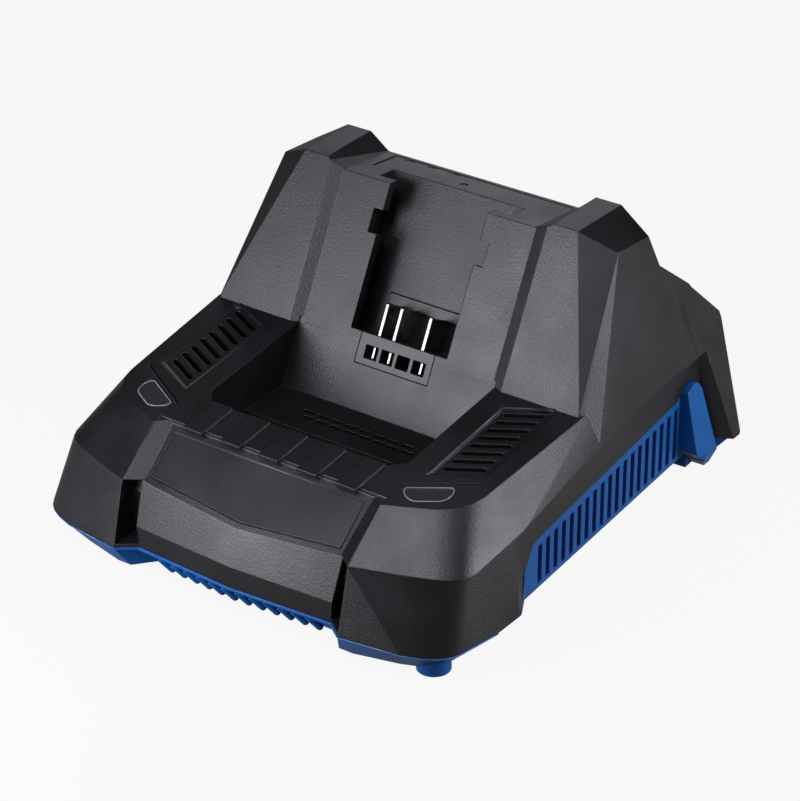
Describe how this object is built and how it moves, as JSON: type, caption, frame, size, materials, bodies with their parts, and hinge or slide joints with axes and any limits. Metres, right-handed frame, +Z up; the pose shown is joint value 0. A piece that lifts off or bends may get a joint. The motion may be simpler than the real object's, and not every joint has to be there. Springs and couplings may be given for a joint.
{
  "type": "power tool battery charger",
  "caption": "Free-standing charger for slide-on power tool battery packs: leaning rail wall with contact block, deep well, vented decks, slotted sides and a cooling fan inside.",
  "frame": {"origin": "centre of the bounding box in plan, at the bottom of the feet", "axes": "+Z up, -Y towards the front (the chin and the well), +X to the right when seen from the front"},
  "size_m": [0.2188, 0.2364, 0.135],
  "materials": {
    "shell_abs": "satin textured",
    "plate_abs": "satin",
    "tray_abs": "satin",
    "lens_clear": "frosted",
    "block_black": "satin",
    "contact_metal": "plated",
    "board_laminate": "solder resist",
    "ferrite": "sintered",
    "coil_tape": "tape over the winding",
    "capacitor_sleeve": "shrink sleeve",
    "sink_aluminium": "extruded",
    "chip_black": "moulded",
    "choke_copper": "enamelled wire",
    "fan_plastic": "moulded",
    "screw_steel": "zinc plated",
    "foot_rubber": "matt"
  },
  "bodies": {
    "charger": {"upper_shell": "shell_abs", "base_tray": "tray_abs", "chin_plate": "plate_abs", "led_lens_left": "lens_clear", "led_lens_right": "lens_clear", "terminal_block": "block_black", "power_blades": "contact_metal", "signal_contacts": "contact_metal", "main_board": "board_laminate", "transformer_core": "ferrite", "transformer_coil": "coil_tape", "bulk_capacitors": "capacitor_sleeve", "heat_sink": "sink_aluminium", "power_transistors": "chip_black", "line_choke": "choke_copper", "led_board_left": "board_laminate", "led_board_right": "board_laminate", "fan_frame": "fan_plastic", "ac_inlet": "block_black", "inlet_pins": "contact_metal", "case_screws": "screw_steel", "board_screws": "screw_steel", "foot_front_left": "foot_rubber", "foot_front_right": "foot_rubber", "foot_rear_left": "foot_rubber", "foot_rear_right": "foot_rubber"},
    "rotor": {"fan_rotor": "fan_plastic"}
  },
  "joints": [
    {"name": "fan_spin", "type": "hinge", "parent": "charger", "child": "rotor", "pos_m": [0.039, 0.082, 0.05], "axis": [0, 1, 0], "continuous": true}
  ]
}
